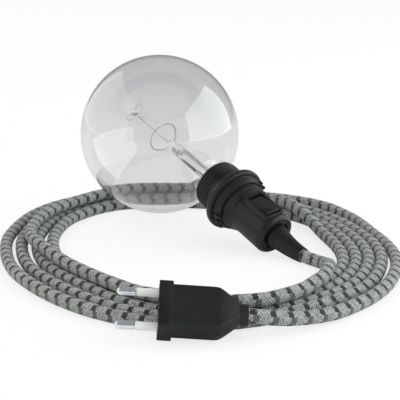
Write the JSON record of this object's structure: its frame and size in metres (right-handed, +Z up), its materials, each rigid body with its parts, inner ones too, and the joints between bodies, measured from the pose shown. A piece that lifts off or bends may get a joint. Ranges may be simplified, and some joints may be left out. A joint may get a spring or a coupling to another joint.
{
  "type": "pendant cord set",
  "caption": "Clear globe bulb in a switched black lamp holder with a long coiled textile cord and a moulded flat plug.",
  "frame": {"origin": "centre of the footprint of the lamp (bulb and holder) on the table, at table height", "axes": "+Z up from the table; the lamp's axis runs from the globe towards +X and -Y and down to the cord outlet; the plug lies at -Y with its pins towards -X"},
  "size_m": [0.2192, 0.2728, 0.0986],
  "materials": {
    "clear_glass": "clear blown glass",
    "tungsten": "dull drawn wire",
    "nickel": "bright nickel plate",
    "brass": "plain stamped brass",
    "socket_white": "moulded, matt off-white",
    "black_plastic": "moulded, satin black",
    "soft_black": "moulded flexible plastic, soft satin black",
    "sleeve_grey": "moulded, light grey",
    "wire_brown": "brown wire insulation",
    "wire_blue": "blue wire insulation",
    "textile": "braided light grey textile with dark cross marks"
  },
  "bodies": {
    "cord_set": {"globe": "clear_glass", "glass_stem": "clear_glass", "filament": "tungsten", "lead_wire_a": "tungsten", "lead_wire_b": "tungsten", "support_hook_1": "tungsten", "support_hook_2": "tungsten", "support_hook_3": "tungsten", "bulb_cap": "nickel", "cap_insulator": "soft_black", "cap_contact": "nickel", "front_shell": "black_plastic", "screw_shell": "brass", "contact_base": "socket_white", "centre_contact": "brass", "live_terminal": "brass", "live_terminal_screw": "nickel", "neutral_terminal": "brass", "neutral_terminal_screw": "nickel", "rear_housing": "black_plastic", "fixed_contact_live": "brass", "fixed_contact_lamp": "brass", "strain_relief_boot": "soft_black", "cord_grip": "nickel", "inner_cord": "textile", "live_wire": "wire_brown", "switched_wire": "wire_brown", "neutral_wire": "wire_blue", "cord_coil": "textile", "lamp_lead": "textile", "plug_lead": "textile", "plug_body": "soft_black", "pin_a": "nickel", "pin_sleeve_a": "sleeve_grey", "pin_b": "nickel", "pin_sleeve_b": "sleeve_grey"},
    "rocker": {"rocker": "black_plastic", "contact_bridge": "brass"},
    "ring_nut": {"ring_nut": "black_plastic"}
  },
  "joints": [
    {"name": "rocker_tilt", "type": "hinge", "parent": "cord_set", "child": "rocker", "pos_m": [0.04155, -0.04953, 0.02414], "axis": [0.8053, 0.5587, 0.1983], "range_deg": [0, 14]},
    {"name": "ring_nut_turn", "type": "hinge", "parent": "cord_set", "child": "ring_nut", "pos_m": [0.02667, -0.02799, 0.02388], "axis": [0.5897, -0.7205, -0.3649], "continuous": true}
  ]
}
